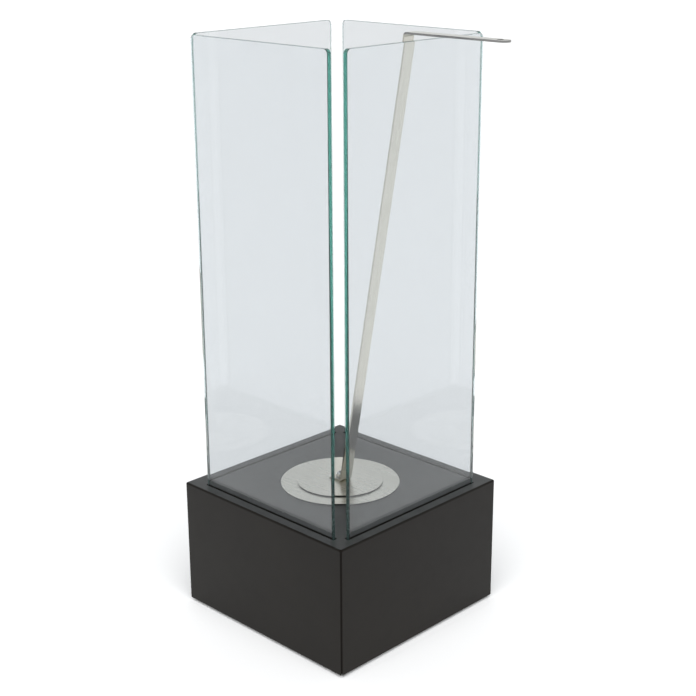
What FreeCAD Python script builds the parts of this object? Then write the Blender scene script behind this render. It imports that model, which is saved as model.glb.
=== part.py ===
import FreeCAD, Part
import math
import os

from FreeCAD import Vector

# A free-standing ethanol garden fire: a square folded-steel housing with a round burner let into its
# top, four upright panes of toughened glass round the flame, and a snuffer lid on a long bent handle.
# Millimetres, +Z up. The origin is the centre of the base on the ground. The front is the -Y side, the
# right is +X, and the handle's arm points to the right.

# ---- driving dimensions ----
housing_width = 300.0
housing_height = 177.0
housing_sheet = 1.5
housing_bend = 2.5
corner_seam = 1.5

strip_thickness = 2.0
bottom_plate_thickness = 1.0

glass_width = 240.0
glass_thickness = 6.0
glass_above_housing = 602.0
glass_corner_radius = 6.0
glass_arris = 0.5
glass_inset = 14.5
gap_beside_glass = 0.5

burner_flange_radius = 79.0
burner_tank_radius = 60.0
burner_tank_depth = 62.0
flame_opening_radius = 50.0
burner_sheet = 1.5
edge_break = 0.3

lid_radius = 56.5
lid_sheet = 1.5
seat_gap = 0.3

bar_width = 17.0
bar_thickness = 2.5
bar_bend = 2.0
handle_foot_half = 9.5
handle_bend_x = 119.0
handle_tip_x = 269.5
handle_top_above_housing = 611.5
hanging_hole_radius = 4.0
hanging_hole_from_tip = 13.0

# ---- levels and places worked out from them ----
housing_bottom = strip_thickness + bottom_plate_thickness
housing_top = housing_bottom + housing_height
top_underside = housing_top - housing_sheet
half_housing = housing_width / 2
half_cavity = half_housing - housing_sheet
cavity_floor = housing_bottom + housing_sheet
return_flange = 24.0
half_bottom_opening = half_housing - return_flange

glass_centre = half_housing - glass_inset - glass_thickness / 2
slot_width = glass_thickness + 2 * gap_beside_glass
slot_length = glass_width + 6.0
slot_corner = 1.5

channel_sheet = 1.2
channel_depth = 24.0
channel_length = slot_length + 4.0
channel_floor = top_underside - channel_depth
channel_tab_half = 105.0
channel_tab_reach = 16.0
channel_lip_reach = 6.0
gasket_base = 3.0
gasket_height = 18.5
gasket_length = glass_width + 4.0
glass_bottom = channel_floor + gasket_base
glass_top = housing_top + glass_above_housing

bottom_plate_half = 140.0
bottom_screw_place = 133.0
clinch_spigot_radius = 2.7

stud_radius = 2.0
stud_length = 12.0
stud_hole_radius = 2.25
thread_gap = 0.05
channel_stud_x = 90.0
channel_stud_inset = glass_centre - slot_width / 2 - channel_sheet - 9.0

tray_half = 69.0
tray_sheet = 1.0
tray_depth = 71.5
tray_flange_half = 84.0
tray_stud_place = 76.5

burner_clearance = 3.0
top_opening_radius = burner_tank_radius + burner_clearance
burner_seat = housing_top + seat_gap
flange_top = burner_seat + burner_sheet
tank_sheet = 1.0
tank_bottom = housing_top - burner_tank_depth
tank_bend = 6.0
pad_radius = burner_tank_radius - tank_sheet - 0.5
pad_height = 36.0
pad_bottom = tank_bottom + tank_sheet + 0.3
retainer_bottom = pad_bottom + pad_height

lid_seat = flange_top + seat_gap
lid_top = lid_seat + lid_sheet
lid_ring_outer = flame_opening_radius - 1.5
lid_ring_sheet = 1.2
lid_ring_height = 8.0

screw_radius = 2.95
screw_hole_radius = 3.2
foot_top = lid_top + bar_thickness
washer_thickness = 1.2
washer_top = foot_top + washer_thickness
cap_nut_height = 8.0
handle_top = housing_top + handle_top_above_housing

SIDES = ("front", "right", "back", "left")
CORNERS = ("front_right", "back_right", "back_left", "front_left")
UP = Vector(0, 0, 1)


# ---- shared shapes ----
def block(x0, x1, y0, y1, z0, z1):
    """A box between two opposite corners."""
    return Part.makeBox(x1 - x0, y1 - y0, z1 - z0, Vector(x0, y0, z0))


def plate(half_x, half_y, z0, z1, corner):
    """A flat plate centred on the Z axis, with rounded upright corners."""
    slab = block(-half_x, half_x, -half_y, half_y, z0, z1)
    upright = [e for e in slab.Edges if abs(e.tangentAt(e.FirstParameter).z) > 0.9]
    return slab.makeFillet(corner, upright)


def disc(radius, z0, z1, x=0.0, y=0.0):
    return Part.makeCylinder(radius, z1 - z0, Vector(x, y, z0))


def ring(outer, inner, z0, z1, x=0.0, y=0.0):
    overrun = 1.0
    return disc(outer, z0, z1, x, y).cut(disc(inner, z0 - overrun, z1 + overrun, x, y))


def revolved(points):
    """A solid of revolution about Z from (radius, height) points joined by straight lines."""
    outline = Part.makePolygon([Vector(r, 0, z) for r, z in points + points[:1]])
    return Part.Face(outline).revolve(Vector(0, 0, 0), UP, 360)


def extruded(points, y0, y1):
    """A bar along Y from an outline of (x, z) points."""
    outline = Part.makePolygon([Vector(x, y0, z) for x, z in points + points[:1]])
    return Part.Face(outline).extrude(Vector(0, y1 - y0, 0))


def hexagon(across_flats, z0, z1, x=0.0, y=0.0):
    """A six-sided prism whose upper and lower corners are turned off, as on a nut."""
    corner = across_flats / math.sqrt(3)
    points = [
        Vector(x + corner * math.cos(math.radians(60 * k)), y + corner * math.sin(math.radians(60 * k)), z0)
        for k in range(7)
    ]
    prism = Part.Face(Part.makePolygon(points)).extrude(UP * (z1 - z0))
    turned = disc(corner, z0, z1, x, y)
    return prism.common(turned.makeChamfer(0.35, circular_edges(turned)))


def circular_edges(shape, z=None):
    """The full circles of a shape, or those at one height."""
    circles = [e for e in shape.Edges if isinstance(e.Curve, Part.Circle)]
    return [e for e in circles if z is None or abs(e.Curve.Center.z - z) < 0.01]


def quarter_turn(shape, turns):
    """The shape carried round the object from the front to another side."""
    turned = shape.copy()
    turned.rotate(Vector(0, 0, 0), UP, 90 * turns)
    return turned


def export(name, shape):
    if not shape.isValid():
        raise ValueError(name + " is not a valid shape")
    shape.exportStep("parts/" + name + ".step")


# ---- the housing ----
def housing_shell():
    """One folded sheet: the top, four sides and a return flange under each, open along its corners."""
    outside = block(-half_housing, half_housing, -half_housing, half_housing, housing_bottom, housing_top)
    outside = outside.makeFillet(housing_bend, outside.Edges)
    inside = block(-half_cavity, half_cavity, -half_cavity, half_cavity, cavity_floor, top_underside)
    inside = inside.makeFillet(housing_bend - housing_sheet, inside.Edges)
    underneath = plate(half_bottom_opening, half_bottom_opening, 0, cavity_floor + housing_bend, 4.0)
    shell = outside.cut(inside).cut(underneath)
    shell = shell.cut(disc(top_opening_radius, channel_floor, housing_top + 1))
    for side in range(4):
        shell = shell.cut(quarter_turn(glass_slot(), side))
        shell = shell.cut(quarter_turn(corner_cut(), side))
        for x in (-channel_stud_x, channel_stud_x):
            hole = disc(clinch_spigot_radius, housing_bottom - 1, cavity_floor + 1, x, -bottom_screw_place)
            shell = shell.cut(quarter_turn(hole, side))
    return shell


def glass_slot():
    slot = plate(slot_length / 2, slot_width / 2, channel_floor, housing_top + 1, slot_corner)
    slot.translate(Vector(0, -glass_centre, 0))
    return slot


def corner_cut():
    """The open seam between two sides, and between their return flanges."""
    reach = half_housing * math.sqrt(2)
    start = (half_bottom_opening - 4.0) * math.sqrt(2)
    seam = block(start, reach, -corner_seam / 2, corner_seam / 2, housing_bottom - 1, top_underside)
    seam.rotate(Vector(0, 0, 0), UP, -45)
    return seam


def corner_angle():
    """An upright steel angle that backs the seam between two sides."""
    leg = 20.0
    thickness = 1.5
    outer_bend = 2.0
    clear_of_bends = 1.5
    low = half_cavity - leg
    outer = block(low, half_cavity, -half_cavity, -low,
                  cavity_floor + clear_of_bends, top_underside - clear_of_bends)
    inner = block(low - 1, half_cavity - thickness, -half_cavity + thickness, -low + 1, 0, housing_top)
    upright = [
        e for e in outer.Edges
        if abs(e.tangentAt(e.FirstParameter).z) > 0.9
        and e.CenterOfMass.x > half_cavity - 0.01
        and e.CenterOfMass.y < -half_cavity + 0.01
    ]
    return outer.makeFillet(outer_bend, upright).cut(inner)


def bottom_screw_places():
    return [
        quarter_turn(Part.Vertex(x, -bottom_screw_place, 0), side).Point
        for side in range(4)
        for x in (-channel_stud_x, channel_stud_x)
    ]


def bottom_plate():
    cover = plate(bottom_plate_half, bottom_plate_half, strip_thickness, housing_bottom, 3.0)
    for place in bottom_screw_places():
        cover = cover.cut(disc(stud_hole_radius, 0, housing_bottom + 1, place.x, place.y))
    return cover


def bottom_plate_screws():
    """Low button-head screws, clear of the ground."""
    head_radius = 3.8
    head_height = 1.5
    shank_top = housing_bottom + 8.0
    hex_socket = 2.5
    screws = []
    for place in bottom_screw_places():
        head_bottom = strip_thickness - head_height
        head = disc(head_radius, head_bottom, strip_thickness, place.x, place.y)
        head = head.makeFillet(0.8, circular_edges(head, head_bottom))
        socket = hexagon(hex_socket, head_bottom - 0.5, head_bottom + 0.9, place.x, place.y)
        shank = disc(stud_radius, strip_thickness, shank_top, place.x, place.y)
        screws.append(head.cut(socket).fuse(shank))
    return Part.makeCompound(screws)


def clinch_nuts():
    """Nuts pressed into the return flange, which the bottom screws enter."""
    body_radius = 4.5
    body_height = 3.5
    bore = stud_radius + thread_gap
    nuts = []
    for place in bottom_screw_places():
        body = ring(body_radius, bore, cavity_floor, cavity_floor + body_height, place.x, place.y)
        spigot = ring(clinch_spigot_radius, bore, housing_bottom, cavity_floor, place.x, place.y)
        nuts.append(body.fuse(spigot))
    return Part.makeCompound(nuts)


def rubber_base_strip():
    """A closed loop of rubber that the whole base stands on."""
    outer_half = half_bottom_opening
    strip_width = 14.0
    loop = plate(outer_half, outer_half, 0, strip_thickness, 12.0)
    middle = plate(outer_half - strip_width, outer_half - strip_width, -1, strip_thickness + 1, 4.0)
    return loop.cut(middle)


# ---- what holds the glass ----
def glass_channel():
    """A folded channel under each slot, with a tab for its studs and a short outer lip."""
    half = channel_length / 2
    wall = slot_width / 2 + channel_sheet
    low = -glass_centre - wall
    high = -glass_centre + wall
    floor = channel_floor - channel_sheet
    trough = block(-half, half, low, high, floor, top_underside)
    hollow = block(-half - 1, half + 1, low + channel_sheet, high - channel_sheet, channel_floor, housing_top)
    under_top = top_underside - channel_sheet
    lip = block(-half, half, low - channel_lip_reach, low + channel_sheet, under_top, top_underside)
    tab = block(-channel_tab_half, channel_tab_half, high - channel_sheet, high + channel_tab_reach,
                under_top, top_underside)
    channel = trough.cut(hollow).fuse([lip, tab]).removeSplitter()
    for x in (-channel_stud_x, channel_stud_x):
        channel = channel.cut(disc(stud_hole_radius, floor, housing_top, x, -channel_stud_inset))
    return channel


def glass_gasket():
    """A rubber trough that grips the foot of a pane."""
    half = gasket_length / 2
    low = -glass_centre - slot_width / 2
    high = -glass_centre + slot_width / 2
    top = channel_floor + gasket_height
    trough = block(-half, half, low, high, channel_floor, top)
    hollow = block(-half - 1, half + 1, low + gap_beside_glass, high - gap_beside_glass,
                   glass_bottom, top + 1)
    return trough.cut(hollow)


def glass_pane():
    """A toughened pane with rounded corners and a fine arris round both faces."""
    half = glass_width / 2
    half_thickness = glass_thickness / 2
    pane = block(-half, half, -half_thickness, half_thickness, glass_bottom, glass_top)
    across = [e for e in pane.Edges if abs(e.tangentAt(e.FirstParameter).y) > 0.9]
    pane = pane.makeFillet(glass_corner_radius, across)
    round_faces = [e for e in pane.Edges if abs(abs(e.CenterOfMass.y) - half_thickness) < 0.001]
    pane = pane.makeChamfer(glass_arris, round_faces)
    pane.translate(Vector(0, -glass_centre, 0))
    return pane


def stud_places():
    """Two studs for each channel's tab and one for each side of the spill tray."""
    places = []
    for side in range(4):
        for x, y in ((-channel_stud_x, -channel_stud_inset), (channel_stud_x, -channel_stud_inset),
                     (0.0, -tray_stud_place)):
            places.append((quarter_turn(Part.Vertex(x, y, 0), side).Point, y == -tray_stud_place))
    return places


def weld_studs():
    studs = [
        disc(stud_radius, top_underside - stud_length, top_underside, place.x, place.y)
        for place, _ in stud_places()
    ]
    return Part.makeCompound(studs)


def stud_nuts():
    across_flats = 7.0
    height = 3.2
    nuts = []
    for place, holds_tray in stud_places():
        top = top_underside - (tray_sheet if holds_tray else channel_sheet)
        nut = hexagon(across_flats, top - height, top, place.x, place.y)
        nuts.append(nut.cut(disc(stud_radius + thread_gap, top - height - 1, top + 1, place.x, place.y)))
    return Part.makeCompound(nuts)


def spill_tray():
    """A square steel tray that the burner hangs in, and that catches spilt fuel."""
    floor = top_underside - tray_depth
    corner = 8.0
    outside = plate(tray_half, tray_half, floor, top_underside, corner)
    inside = plate(tray_half - tray_sheet, tray_half - tray_sheet, floor + tray_sheet,
                   top_underside + 1, corner - tray_sheet)
    flange = plate(tray_flange_half, tray_flange_half, top_underside - tray_sheet, top_underside, 4.0)
    tray = outside.fuse(flange).cut(inside)
    for place, holds_tray in stud_places():
        if holds_tray:
            tray = tray.cut(disc(stud_hole_radius, floor, housing_top, place.x, place.y))
    return tray


# ---- the burner ----
def burner_flange():
    """The round trim plate with the flame opening, whose edge is turned down."""
    lip_depth = 6.0
    lip_sheet = 1.0
    trim = disc(burner_flange_radius, burner_seat, flange_top)
    trim = trim.makeChamfer(edge_break, circular_edges(trim, flange_top))
    lip = disc(flame_opening_radius + lip_sheet, burner_seat - lip_depth, burner_seat)
    whole = trim.fuse(lip).cut(disc(flame_opening_radius, tank_bottom, flange_top + 1))
    return whole.makeFillet(0.6, circular_edges(whole, flange_top)[-1:])


def burner_tank():
    """A drawn cup that holds the fuel pad."""
    outer = disc(burner_tank_radius, tank_bottom, burner_seat)
    outer = outer.makeFillet(tank_bend, circular_edges(outer, tank_bottom))
    inner = disc(burner_tank_radius - tank_sheet, tank_bottom + tank_sheet, burner_seat + 1)
    inner = inner.makeFillet(tank_bend - tank_sheet, circular_edges(inner, tank_bottom + tank_sheet))
    return outer.cut(inner)


def fuel_pad():
    pad = disc(pad_radius, pad_bottom, pad_bottom + pad_height)
    return pad.makeFillet(tank_bend, circular_edges(pad, pad_bottom))


def pad_retainer():
    """A perforated disc with a turned-up rim that keeps the pad down."""
    thickness = 1.0
    rim_height = 6.0
    hole_radius = 3.5
    pitch = 12.0
    perforated_radius = 50.0
    disc_top = retainer_bottom + thickness
    holes = []
    rows = int(perforated_radius / (pitch * math.sqrt(3) / 2))
    for row in range(-rows, rows + 1):
        y = row * pitch * math.sqrt(3) / 2
        shift = pitch / 2 if row % 2 else 0.0
        for step in range(-rows - 1, rows + 2):
            x = step * pitch + shift
            if math.hypot(x, y) < perforated_radius:
                holes.append(disc(hole_radius, retainer_bottom - 1, disc_top + 1, x, y))
    sheet = disc(pad_radius, retainer_bottom, disc_top)
    rim = ring(pad_radius, pad_radius - thickness, retainer_bottom, retainer_bottom + rim_height)
    return sheet.cut(Part.makeCompound(holes)).fuse(rim).removeSplitter()


# ---- the snuffer lid and its handle ----
def lid_disc():
    cap = disc(lid_radius, lid_seat, lid_top)
    cap = cap.makeChamfer(edge_break, circular_edges(cap, lid_top))
    return cap.cut(disc(screw_hole_radius, lid_seat - 1, lid_top + 1))


def lid_ring():
    """The welded collar that keeps the lid centred on the flame opening."""
    return ring(lid_ring_outer, lid_ring_outer - lid_ring_sheet, lid_seat - lid_ring_height, lid_seat)


def lid_screw():
    head_radius = 5.25
    head_height = 2.5
    head_bottom = lid_seat - head_height
    head = disc(head_radius, head_bottom, lid_seat)
    head = head.makeFillet(1.2, circular_edges(head, head_bottom))
    socket = hexagon(4.0, head_bottom - 0.5, head_bottom + 1.4)
    shank = disc(screw_radius, lid_seat, washer_top + 6.0)
    return head.cut(socket).fuse(shank)


def lid_washer():
    washer = ring(6.0, screw_hole_radius, foot_top, washer_top)
    return washer.makeChamfer(0.25, circular_edges(washer, washer_top)[:1])


def lid_cap_nut():
    """A low domed nut over the end of the screw."""
    across_flats = 10.0
    hex_height = 4.2
    collar_radius = 4.4
    hex_top = washer_top + hex_height
    dome_radius = cap_nut_height - hex_height + 0.8
    body = hexagon(across_flats, washer_top, hex_top)
    collar = disc(collar_radius, hex_top - 0.5, hex_top + 0.4)
    dome = Part.makeSphere(dome_radius, Vector(0, 0, washer_top + cap_nut_height - dome_radius))
    dome = dome.common(disc(collar_radius, hex_top, washer_top + cap_nut_height + 1))
    whole = body.fuse([collar, dome])
    return whole.cut(disc(screw_radius + thread_gap, washer_top - 1, washer_top + 6.3))


def handle_bar():
    """One flat bar: a foot under the nut, a leaning leg, and a level arm with a hanging hole."""
    foot_bottom = lid_top
    arm_bottom = handle_top - bar_thickness
    rise = handle_top - foot_bottom
    run = handle_bend_x - handle_foot_half
    lean = math.atan2(run, rise)
    for _ in range(4):
        lean = math.atan2(run + bar_thickness / math.cos(lean), rise)

    def right_face(z):
        return handle_foot_half + (z - foot_bottom) * math.tan(lean)

    def left_face(z):
        return right_face(z) - bar_thickness / math.cos(lean)

    outline = [
        (-handle_foot_half, foot_bottom),
        (handle_foot_half, foot_bottom),
        (right_face(arm_bottom), arm_bottom),
        (handle_tip_x, arm_bottom),
        (handle_tip_x, handle_top),
        (left_face(handle_top), handle_top),
        (left_face(foot_top), foot_top),
        (-handle_foot_half, foot_top),
    ]
    bar = extruded(outline, -bar_width / 2, bar_width / 2)
    inner_bends = [outline[2], outline[6]]
    outer_bends = [outline[1], outline[5]]
    bar = bar.makeFillet(bar_bend, edges_at(bar, inner_bends))
    bar = bar.makeFillet(bar_bend + bar_thickness, edges_at(bar, outer_bends))
    tip_radius = bar_width / 2
    square_end = block(handle_tip_x - tip_radius, handle_tip_x + 1, -bar_width, bar_width,
                       arm_bottom - 1, handle_top + 1)
    round_end = disc(tip_radius, arm_bottom - 1, handle_top + 1, handle_tip_x - tip_radius)
    bar = bar.cut(square_end.cut(round_end))
    hole_x = handle_tip_x - hanging_hole_from_tip
    bar = bar.cut(disc(hanging_hole_radius, arm_bottom - 1, handle_top + 1, hole_x))
    return bar.cut(disc(screw_hole_radius, foot_bottom - 1, foot_top + 1))


def edges_at(bar, corners):
    """The edges along Y that run through the given (x, z) corners."""
    return [
        e for e in bar.Edges
        if abs(e.tangentAt(e.FirstParameter).y) > 0.9
        and any(math.hypot(e.CenterOfMass.x - x, e.CenterOfMass.z - z) < 0.01 for x, z in corners)
    ]


# ---- every node ----
os.makedirs("parts", exist_ok=True)

export("housing_shell", housing_shell())
export("bottom_plate", bottom_plate())
export("bottom_plate_screws", bottom_plate_screws())
export("clinch_nuts", clinch_nuts())
export("rubber_base_strip", rubber_base_strip())
export("weld_studs", weld_studs())
export("stud_nuts", stud_nuts())
export("spill_tray", spill_tray())

for turns, side_name in enumerate(SIDES):
    export("glass_channel_" + side_name, quarter_turn(glass_channel(), turns))
    export("glass_gasket_" + side_name, quarter_turn(glass_gasket(), turns))
    export("glass_pane_" + side_name, quarter_turn(glass_pane(), turns))

for turns, corner_name in enumerate(CORNERS):
    export("corner_angle_" + corner_name, quarter_turn(corner_angle(), turns))

export("burner_flange", burner_flange())
export("burner_tank", burner_tank())
export("fuel_pad", fuel_pad())
export("pad_retainer", pad_retainer())

export("lid_disc", lid_disc())
export("lid_ring", lid_ring())
export("lid_screw", lid_screw())
export("lid_washer", lid_washer())
export("lid_cap_nut", lid_cap_nut())
export("handle_bar", handle_bar())
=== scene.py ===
import math

import bmesh
import bpy
from mathutils import Matrix, Vector, noise


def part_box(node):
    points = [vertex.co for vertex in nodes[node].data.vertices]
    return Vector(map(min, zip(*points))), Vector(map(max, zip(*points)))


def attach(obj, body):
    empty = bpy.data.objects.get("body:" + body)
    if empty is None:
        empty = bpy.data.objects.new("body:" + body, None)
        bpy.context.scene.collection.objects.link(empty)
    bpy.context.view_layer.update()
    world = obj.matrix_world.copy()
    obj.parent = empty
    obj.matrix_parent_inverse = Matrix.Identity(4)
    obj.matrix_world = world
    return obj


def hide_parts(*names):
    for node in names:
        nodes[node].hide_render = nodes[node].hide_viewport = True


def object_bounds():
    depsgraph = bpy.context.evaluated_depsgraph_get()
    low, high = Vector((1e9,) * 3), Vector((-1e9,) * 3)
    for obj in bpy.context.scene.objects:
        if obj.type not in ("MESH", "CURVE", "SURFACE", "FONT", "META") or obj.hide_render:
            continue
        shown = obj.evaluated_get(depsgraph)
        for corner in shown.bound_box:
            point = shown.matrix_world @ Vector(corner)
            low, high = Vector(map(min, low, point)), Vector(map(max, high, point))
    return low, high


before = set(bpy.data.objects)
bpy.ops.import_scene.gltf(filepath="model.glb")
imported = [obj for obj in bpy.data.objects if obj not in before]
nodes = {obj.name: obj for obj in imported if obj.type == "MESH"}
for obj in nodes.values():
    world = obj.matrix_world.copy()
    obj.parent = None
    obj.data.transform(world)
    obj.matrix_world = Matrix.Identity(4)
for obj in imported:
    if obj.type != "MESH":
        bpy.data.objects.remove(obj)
cad_low, cad_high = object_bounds()
scene = bpy.context.scene

SIDES = ("front", "right", "back", "left")
CORNERS = ("front_right", "back_right", "back_left", "front_left")


# ---- the view ----
def make_camera():
    """The photograph's viewing angle: just off the front corner, looking down by 18 degrees."""
    azimuth = math.radians(44.60)
    elevation = math.radians(18.39)
    roll = math.radians(-0.31)
    distance = 1.8584
    focal_length = 71.91
    target = Vector((0.0, 0.0165, 0.3679))
    back = Vector((
        math.sin(azimuth) * math.cos(elevation),
        -math.cos(azimuth) * math.cos(elevation),
        math.sin(elevation),
    ))
    level_right = (-back).cross(Vector((0, 0, 1))).normalized()
    level_up = back.cross(level_right)
    right = math.cos(roll) * level_right + math.sin(roll) * level_up
    up = back.cross(right)
    turn = Matrix((right, up, back)).transposed().to_4x4()
    data = bpy.data.cameras.new("camera")
    data.sensor_width = 36.0
    data.lens = focal_length
    camera = bpy.data.objects.new("camera", data)
    scene.collection.objects.link(camera)
    camera.matrix_world = Matrix.Translation(target + back * distance) @ turn
    scene.camera = camera


make_camera()


# ---- writing a material ----
# A Mix node's two colour inputs, and its colour output.
MIX_A = 6
MIX_B = 7
MIX_RESULT = 2


class Graph:
    """A short way to write a material's node tree.

    Noise scales count features per metre, heights of bumps are in metres and colours are linear.
    A noise value runs from about 0.3 to about 0.7.
    """

    def __init__(self, name):
        self.material = bpy.data.materials.new(name)
        self.material.use_nodes = True
        self.tree = self.material.node_tree
        self.tree.nodes.clear()
        self.output = self.node("ShaderNodeOutputMaterial")
        self.shader = self.node("ShaderNodeBsdfPrincipled")
        self.link(self.shader.outputs[0], self.output.inputs["Surface"])

    def node(self, kind, **settings):
        made = self.tree.nodes.new(kind)
        for key, value in settings.items():
            setattr(made, key, value)
        return made

    def link(self, source, target):
        self.tree.links.new(source, target)

    def place(self, stretch):
        """Points on the object, in metres, times stretch."""
        coordinates = self.node("ShaderNodeTexCoord")
        mapping = self.node("ShaderNodeMapping")
        mapping.inputs["Scale"].default_value = stretch
        self.link(coordinates.outputs["Object"], mapping.inputs["Vector"])
        return mapping.outputs["Vector"]

    def noise(self, scale, detail=3.0, roughness=0.5, stretch=(1, 1, 1), distortion=0.0):
        made = self.node("ShaderNodeTexNoise")
        made.inputs["Scale"].default_value = scale
        made.inputs["Detail"].default_value = detail
        made.inputs["Roughness"].default_value = roughness
        made.inputs["Distortion"].default_value = distortion
        self.link(self.place(stretch), made.inputs["Vector"])
        return made.outputs["Fac"]

    def span(self, value, low, high, start=0.3, end=0.7):
        """value taken from start..end to low..high."""
        made = self.node("ShaderNodeMapRange")
        made.inputs["From Min"].default_value = start
        made.inputs["From Max"].default_value = end
        made.inputs["To Min"].default_value = low
        made.inputs["To Max"].default_value = high
        self.link(value, made.inputs["Value"])
        return made.outputs["Result"]

    def colours(self, value, stops):
        made = self.node("ShaderNodeValToRGB")
        ramp = made.color_ramp
        while len(ramp.elements) < len(stops):
            ramp.elements.new(0.5)
        for element, (place, colour) in zip(ramp.elements, stops):
            element.position = place
            element.color = (*colour, 1.0)
        self.link(value, made.inputs["Fac"])
        return made.outputs["Color"]

    def bump(self, value, height, strength=1.0, below=None):
        made = self.node("ShaderNodeBump")
        made.inputs["Strength"].default_value = strength
        made.inputs["Distance"].default_value = height
        self.link(value, made.inputs["Height"])
        if below is not None:
            self.link(below, made.inputs["Normal"])
        return made.outputs["Normal"]

    def squareness(self, axis):
        """How squarely a face looks along an axis of the object, either way: 1 square on, 0 edge on."""
        geometry = self.node("ShaderNodeNewGeometry")
        turned = self.node("ShaderNodeVectorTransform", vector_type="NORMAL")
        turned.convert_from = "WORLD"
        turned.convert_to = "OBJECT"
        split = self.node("ShaderNodeSeparateXYZ")
        self.link(geometry.outputs["True Normal"], turned.inputs[0])
        self.link(turned.outputs[0], split.inputs[0])
        size = self.node("ShaderNodeMath", operation="ABSOLUTE")
        self.link(split.outputs[axis], size.inputs[0])
        return size.outputs[0]

    def along(self, axis):
        """1 on the faces that look along that axis, 0 on the rest."""
        return self.span(self.squareness(axis), 0.0, 1.0, start=0.3, end=0.5)

    def across(self, axis):
        """0 on the faces that look along that axis, 1 on the rest."""
        return self.span(self.squareness(axis), 1.0, 0.0, start=0.3, end=0.5)

    def above(self, level):
        """1 on what lies above that level of the object, in metres, 0 on what lies below."""
        fade = 0.0004
        split = self.node("ShaderNodeSeparateXYZ")
        self.link(self.place((1, 1, 1)), split.inputs[0])
        return self.span(split.outputs["Z"], 0.0, 1.0, start=level, end=level + fade)

    def combine(self, operation, one, other):
        made = self.node("ShaderNodeMath", operation=operation)
        self.link(one, made.inputs[0])
        self.link(other, made.inputs[1])
        return made.outputs[0]

    def blend(self, share, none, full):
        """The colour none where share is 0 and full where it is 1; each is a colour or an output."""
        made = self.node("ShaderNodeMix", data_type="RGBA")
        self.link(share, made.inputs["Factor"])
        for socket, colour in ((made.inputs[MIX_A], none), (made.inputs[MIX_B], full)):
            if isinstance(colour, tuple):
                socket.default_value = (*colour, 1.0)
            else:
                self.link(colour, socket)
        return made.outputs[MIX_RESULT]

    def upward_sheen_share(self):
        """1 on level faces that look up, where a painted sheen and a trace of dust go, 0 on the rest."""
        coordinates = self.node("ShaderNodeTexCoord")
        split = self.node("ShaderNodeSeparateXYZ")
        self.link(coordinates.outputs["Normal"], split.inputs[0])
        return self.span(split.outputs["Z"], 0.0, 1.0, start=0.93, end=1.0)

    def set(self, **values):
        """Plain values on the shader's own sockets."""
        for key, value in values.items():
            self.shader.inputs[key.replace("_", " ")].default_value = value

    def feed(self, **outputs):
        """Other nodes' outputs to the shader's own sockets."""
        for key, output in outputs.items():
            self.link(output, self.shader.inputs[key.replace("_", " ")])


# ---- the materials ----
def powder_coat():
    """Satin black powder coat: a fine orange peel with faint changes of tone, and level upward faces painted
    paler, a painted sheen for the light they catch with a trace of dust.
    """
    g = Graph("powder_coat")
    tone = g.noise(9.0, detail=4.0)
    clean = g.colours(tone, [(0.3, (0.0040, 0.0028, 0.0016)), (0.7, (0.0062, 0.0047, 0.0030))])
    specks = g.noise(35.0, detail=6.0)
    # The paler colour on upward faces is a painted sheen with a trace of dust.
    dust_and_sheen = g.colours(specks, [(0.3, (0.023, 0.024, 0.0235)), (0.7, (0.032, 0.033, 0.0325))])
    g.feed(Base_Color=g.blend(g.upward_sheen_share(), clean, dust_and_sheen))
    g.feed(Roughness=g.span(g.noise(60.0, detail=5.0), 0.28, 0.38))
    peel = g.bump(g.noise(700.0, detail=2.0), 0.00006, strength=0.55)
    g.feed(Normal=g.bump(g.noise(2600.0, detail=2.0), 0.00002, strength=0.5, below=peel))
    g.set(Specular_IOR_Level=0.18)
    return g.material


def steel_tone(shade):
    """Stainless steel's warm grey."""
    return (shade * 1.0, shade * 0.96, shade * 0.855)


def brushed_steel(name, grain, edges, shade, roughness):
    """Stainless steel brushed in straight lines, darker where a cut edge shows; on the disc and the bar that
    darker edge is painted shade.

    grain is the stretch that makes the lines. edges takes the graph and gives the share of cut edge
    and its colour.
    """
    line_height = 0.00002
    line_strength = 0.35
    g = Graph(name)
    lines = g.noise(1.0, detail=6.0, roughness=0.65, stretch=grain)
    broad = g.noise(18.0, detail=3.0)
    face = g.colours(lines, [(0.25, steel_tone(0.64 * shade)), (0.75, steel_tone(0.76 * shade))])
    edge, edge_colour = edges(g)
    g.feed(Base_Color=g.blend(edge, face, edge_colour))
    streak = g.span(lines, roughness - 0.03, roughness + 0.05)
    g.feed(Roughness=g.combine("ADD", streak, g.span(broad, -0.03, 0.05)))
    brushing = g.bump(lines, line_height, strength=line_strength)
    g.link(g.span(edge, line_strength, 0.0, start=0.0, end=1.0), brushing.node.inputs["Strength"])
    g.feed(Normal=brushing)
    g.set(Metallic=1.0)
    return g.material


def disc_shaded_edges(g):
    """A disc's cut edge is what doesn't look up or down, painted near black: a painted shadow of the gap
    beneath it and a painted dark reflection.
    """
    return g.across("Z"), steel_tone(0.025)


def bar_shaded_edges(g):
    """The bar's cut edges are its two narrow sides, and on its arm the rounded end and the hole too; all are
    painted darker than the faces as painted shade, the arm's the darkest.
    """
    bar_thickness = 0.0025
    margin = 0.0006
    arm_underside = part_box("handle_bar")[1].z - bar_thickness
    arm = g.above(arm_underside - margin)
    end = g.combine("MULTIPLY", arm, g.across("Z"))
    # Painted shade: the leg's edges a darker steel, the arm's edges darker still.
    return g.combine("MAXIMUM", g.along("Y"), end), g.blend(arm, steel_tone(0.50), (0.26, 0.257, 0.25))


def drawn_edges(g):
    """The tops and bottoms of drawn walls."""
    return g.along("Z"), steel_tone(0.50)


def bright_steel(name, colour, roughness):
    """Bright small parts with faint tool marks."""
    g = Graph(name)
    marks = g.noise(420.0, detail=4.0)
    dark = tuple(0.8 * part for part in colour)
    g.feed(Base_Color=g.colours(marks, [(0.3, dark), (0.7, colour)]))
    g.feed(Roughness=g.span(marks, roughness - 0.04, roughness + 0.07))
    g.feed(Normal=g.bump(marks, 0.00002, strength=0.3))
    g.set(Metallic=1.0)
    return g.material


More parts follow.
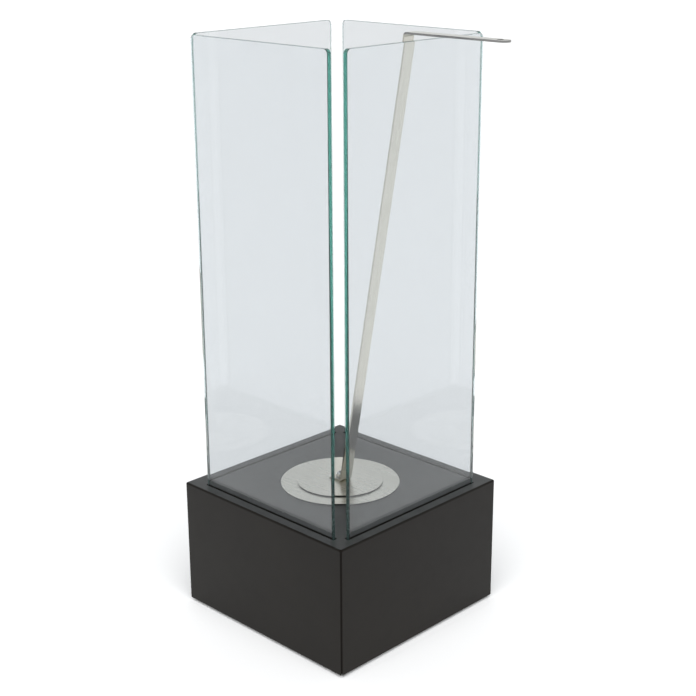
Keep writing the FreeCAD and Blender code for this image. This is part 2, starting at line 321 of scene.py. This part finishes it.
def zinc_sheet():
    """Zinc-plated sheet: bluish, with cloudy passivation."""
    bluish = (0.38, 0.41, 0.43)
    grey = (0.50, 0.51, 0.50)
    yellowish = (0.55, 0.54, 0.47)
    g = Graph("zinc_sheet")
    cloud = g.noise(30.0, detail=6.0, distortion=0.6)
    g.feed(Base_Color=g.colours(cloud, [(0.35, bluish), (0.55, grey), (0.75, yellowish)]))
    g.feed(Roughness=g.span(cloud, 0.30, 0.48))
    g.feed(Normal=g.bump(g.noise(500.0), 0.00003, strength=0.3))
    g.set(Metallic=1.0)
    return g.material


def rubber():
    """Matt black rubber with a fine tooth."""
    g = Graph("rubber")
    tooth = g.noise(900.0, detail=4.0)
    g.feed(Base_Color=g.colours(tooth, [(0.3, (0.010, 0.010, 0.010)), (0.7, (0.020, 0.020, 0.019))]))
    g.feed(Roughness=g.span(tooth, 0.72, 0.88))
    g.feed(Normal=g.bump(tooth, 0.00005, strength=0.4))
    return g.material


def ceramic_wool():
    """Pressed white ceramic fibre."""
    g = Graph("ceramic_wool")
    fibres = g.noise(260.0, detail=8.0, roughness=0.7, stretch=(1, 2.5, 4), distortion=1.2)
    g.feed(Base_Color=g.colours(fibres, [(0.3, (0.60, 0.58, 0.54)), (0.65, (0.84, 0.83, 0.80))]))
    g.feed(Roughness=g.span(fibres, 0.85, 1.0))
    g.feed(Normal=g.bump(fibres, 0.0008, strength=0.8))
    return g.material


def toughened_glass(name, axis, clear):
    """Clear float glass with ground edges. The iron in it is what turns the long way through green.

    axis is what the broad faces look along, and clear is how much each face lets through.
    """
    end = (0.50, 0.76, 0.72)
    arris = (0.32, 0.39, 0.38)
    face = (0.985 * clear, 0.981 * clear, clear)
    g = Graph(name)
    square = g.squareness(axis)
    g.feed(Base_Color=g.colours(square, [(0.35, end), (0.45, arris), (0.85, arris), (0.95, face)]))
    g.feed(Transmission_Weight=g.span(square, 0.94, 1.0, start=0.35, end=0.45))
    g.set(Roughness=0.0, IOR=1.5)
    absorb = g.node("ShaderNodeVolumeAbsorption")
    absorb.inputs["Color"].default_value = (0.05, 0.52, 0.45, 1.0)
    absorb.inputs["Density"].default_value = 7.9
    g.link(absorb.outputs[0], g.output.inputs["Volume"])
    return g.material


def dress(node_names, material):
    """Gives CAD nodes a finish through their objects' slots."""
    for name in node_names:
        thing = nodes[name]
        if not thing.material_slots:
            thing.data.materials.append(None)
        for holder in thing.material_slots:
            holder.link = "OBJECT"
            holder.material = material


def finish_nodes():
    """Every CAD node that shows gets its finish."""
    # Features per metre across and along the brushing.
    fine = 2600.0
    coarse = 22.0
    # How much light each face of a pane lets through; the far panes are the same glass painted darker,
    # painted shade on what shows through them.
    near_clear = 0.955
    far_clear_shaded = 0.73

    coat = powder_coat()
    # The disc's steel is painted lighter (1.05), painted light, and the bar's darker (0.92), painted shade,
    # for how each catches the light.
    disc_steel = brushed_steel("brushed_steel_disc", (coarse, fine, fine), disc_shaded_edges, 1.05, 0.26)
    bar_steel = brushed_steel("brushed_steel_bar", (coarse * 2, fine, coarse * 2), bar_shaded_edges, 0.92, 0.19)
    drawn_steel = brushed_steel("drawn_steel", (coarse, coarse, fine), drawn_edges, 0.9, 0.34)
    polished = bright_steel("polished_steel", (0.92, 0.92, 0.90), 0.05)
    fastener = bright_steel("fastener_steel", (0.60, 0.60, 0.59), 0.28)
    zinc = zinc_sheet()
    black_rubber = rubber()

    dress(["housing_shell"], coat)
    dress(["glass_channel_" + side for side in SIDES], coat)
    dress(["corner_angle_" + corner for corner in CORNERS], coat)
    for side, axis, clear in (
        ("front", "Y", near_clear),
        ("right", "X", near_clear),
        ("back", "Y", far_clear_shaded),
        ("left", "X", far_clear_shaded),
    ):
        dress(["glass_pane_" + side], toughened_glass("toughened_glass_" + side, axis, clear))
        nodes["glass_pane_" + side].visible_shadow = False
    dress(["burner_flange", "lid_disc"], disc_steel)
    dress(["handle_bar"], bar_steel)
    dress(["burner_tank", "lid_ring", "pad_retainer"], drawn_steel)
    dress(["lid_cap_nut"], polished)
    dress(["lid_screw", "lid_washer", "bottom_plate_screws"], fastener)
    dress(["clinch_nuts", "weld_studs", "stud_nuts"], fastener)
    dress(["bottom_plate", "spill_tray"], zinc)
    dress(["rubber_base_strip"], black_rubber)
    dress(["glass_gasket_" + side for side in SIDES], black_rubber)


finish_nodes()


# ---- the wool in the tank ----
def wool_ring(shape, centre, floor, radius, height, reach, level):
    """One ring of the wool pad's points, at reach 0 to 1 of its radius and level 0 to 1 of its height."""
    around = 180
    lump_depth = 0.0006
    tuft_depth = 0.0003
    top_lump_depth = 0.0011
    top_tuft_depth = 0.0005
    ring = []
    for step in range(around):
        angle = 2 * math.pi * step / around
        ray = Vector((math.cos(angle), math.sin(angle), 0.0))
        spot = centre + ray * (radius * reach)
        spot.z = floor + height * level
        lump = noise.fractal(spot * 85.0, 1.0, 2.2, 4)
        tuft = noise.fractal(spot * 420.0 + Vector((7, 3, 1)), 0.8, 2.1, 3)
        torn = lump_depth * (1.2 - lump) + tuft_depth * (1.0 - tuft)
        inward = max(0.0, torn) * min(1.0, reach * 4)
        spot -= ray * (inward if level < 1.0 else 0.6 * inward)
        if level > 0.9:
            spot.z -= max(0.0, top_lump_depth * (1.0 - lump) + top_tuft_depth * (1.0 - tuft))
        ring.append(shape.verts.new(spot))
    return ring


def make_wool_pad():
    """The pad of pressed ceramic wool: a torn-edged disc with a lumpy top, in its solid's space."""
    low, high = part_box("fuel_pad")
    centre = (low + high) / 2
    radius = (high.x - low.x) / 2
    height = high.z - low.z
    side_rings = 10
    top_rings = 46

    # From the bottom edge up the side, round the top edge and in to the middle.
    outline = [(0.985, 0.0)]
    for step in range(1, side_rings):
        outline.append((1.0, 0.04 + 0.88 * step / side_rings))
    for turn in (20, 45, 70):
        bend = math.radians(turn)
        outline.append((0.955 + 0.045 * math.cos(bend), 0.93 + 0.07 * math.sin(bend)))
    for step in range(top_rings):
        outline.append((0.95 * (1.0 - step / top_rings), 1.0))

    shape = bmesh.new()
    loops = [
        wool_ring(shape, centre, low.z, radius, height, reach, level)
        for reach, level in outline
    ]
    for one, other in zip(loops, loops[1:]):
        for step in range(len(one)):
            after = (step + 1) % len(one)
            shape.faces.new((one[step], one[after], other[after], other[step]))
    shape.faces.new(tuple(reversed(loops[0])))
    shape.faces.new(tuple(loops[-1]))
    for face in shape.faces:
        face.smooth = True
    shape.normal_update()
    mesh = bpy.data.meshes.new("wool_pad")
    shape.to_mesh(mesh)
    shape.free()
    mesh.materials.append(ceramic_wool())
    pad = bpy.data.objects.new("wool_pad", mesh)
    scene.collection.objects.link(pad)
    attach(pad, "burner")
    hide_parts("fuel_pad")


make_wool_pad()


# ---- floor and light ----
def make_floor():
    """A plain pale floor at the base's own level, wide enough to fill any view."""
    half = 200.0
    level = cad_low.z
    corners = [(-half, -half, level), (half, -half, level), (half, half, level), (-half, half, level)]
    mesh = bpy.data.meshes.new("floor")
    mesh.from_pydata(corners, [], [(0, 1, 2, 3)])
    floor = bpy.data.objects.new("floor", mesh)
    scene.collection.objects.link(floor)
    g = Graph("floor")
    g.set(Base_Color=(0.90, 0.90, 0.90, 1.0), Roughness=0.8, Specular_IOR_Level=0.2)
    mesh.materials.append(g.material)


def wall_light(tree, height_output, stops):
    """A wall's light by height. A stop is the sine of an angle above the floor line and the light there."""
    red = 0.965
    green = 0.99
    blue = 1.01
    ramp = tree.nodes.new("ShaderNodeValToRGB")
    tree.links.new(height_output, ramp.inputs["Fac"])
    while len(ramp.color_ramp.elements) < len(stops):
        ramp.color_ramp.elements.new(0.5)
    for element, (height, light) in zip(ramp.color_ramp.elements, stops):
        element.position = height
        element.color = (red * light, green * light, blue * light, 1.0)
    return ramp.outputs["Color"]


def make_studio():
    """A studio with a pale wall behind and a dimmer one in front, plain white where the camera sees it."""
    behind_light = [(0.00, 0.62), (0.22, 0.94), (0.68, 1.0), (0.84, 0.30), (1.0, 0.15)]
    before_light = [(0.00, 0.07), (0.12, 0.10), (0.26, 0.55), (0.65, 0.60), (0.84, 0.25), (1.0, 0.15)]
    to_the_back = (-0.7, 0.7, 0.0)
    world = bpy.data.worlds.new("studio")
    world.use_nodes = True
    tree = world.node_tree
    coordinates = tree.nodes.new("ShaderNodeTexCoord")
    split = tree.nodes.new("ShaderNodeSeparateXYZ")
    tree.links.new(coordinates.outputs["Generated"], split.inputs[0])
    behind = wall_light(tree, split.outputs["Z"], behind_light)
    before = wall_light(tree, split.outputs["Z"], before_light)
    facing = tree.nodes.new("ShaderNodeVectorMath")
    facing.operation = "DOT_PRODUCT"
    facing.inputs[1].default_value = to_the_back
    tree.links.new(coordinates.outputs["Generated"], facing.inputs[0])
    share = tree.nodes.new("ShaderNodeMapRange")
    share.interpolation_type = "SMOOTHSTEP"
    share.inputs["From Min"].default_value = 0.1
    share.inputs["From Max"].default_value = 0.6
    tree.links.new(facing.outputs["Value"], share.inputs["Value"])
    walls = tree.nodes.new("ShaderNodeMix")
    walls.data_type = "RGBA"
    tree.links.new(share.outputs["Result"], walls.inputs["Factor"])
    tree.links.new(before, walls.inputs[MIX_A])
    tree.links.new(behind, walls.inputs[MIX_B])
    sight = tree.nodes.new("ShaderNodeLightPath")
    seen = tree.nodes.new("ShaderNodeMix")
    seen.data_type = "RGBA"
    seen.inputs[MIX_B].default_value = (1.0, 1.0, 1.0, 1.0)
    tree.links.new(sight.outputs["Is Camera Ray"], seen.inputs["Factor"])
    tree.links.new(walls.outputs[MIX_RESULT], seen.inputs[MIX_A])
    tree.links.new(seen.outputs[MIX_RESULT], tree.nodes["Background"].inputs["Color"])
    scene.world = world


def make_lamp():
    """A broad soft lamp, high and a little to the camera's side, that lights the floor."""
    to_the_lamp = Vector((0.5, -0.5, 0.71))
    light = bpy.data.lights.new("soft_top", "SUN")
    light.energy = 3.65
    light.angle = math.radians(80.0)
    lamp = bpy.data.objects.new("soft_top", light)
    lamp.rotation_euler = to_the_lamp.to_track_quat("Z", "Y").to_euler()
    lamp.visible_glossy = False
    lamp.visible_transmission = False
    scene.collection.objects.link(lamp)


make_floor()
make_studio()
make_lamp()
scene.view_settings.view_transform = "Standard"
scene.cycles.max_bounces = 128
scene.cycles.transmission_bounces = 128
scene.cycles.glossy_bounces = 64
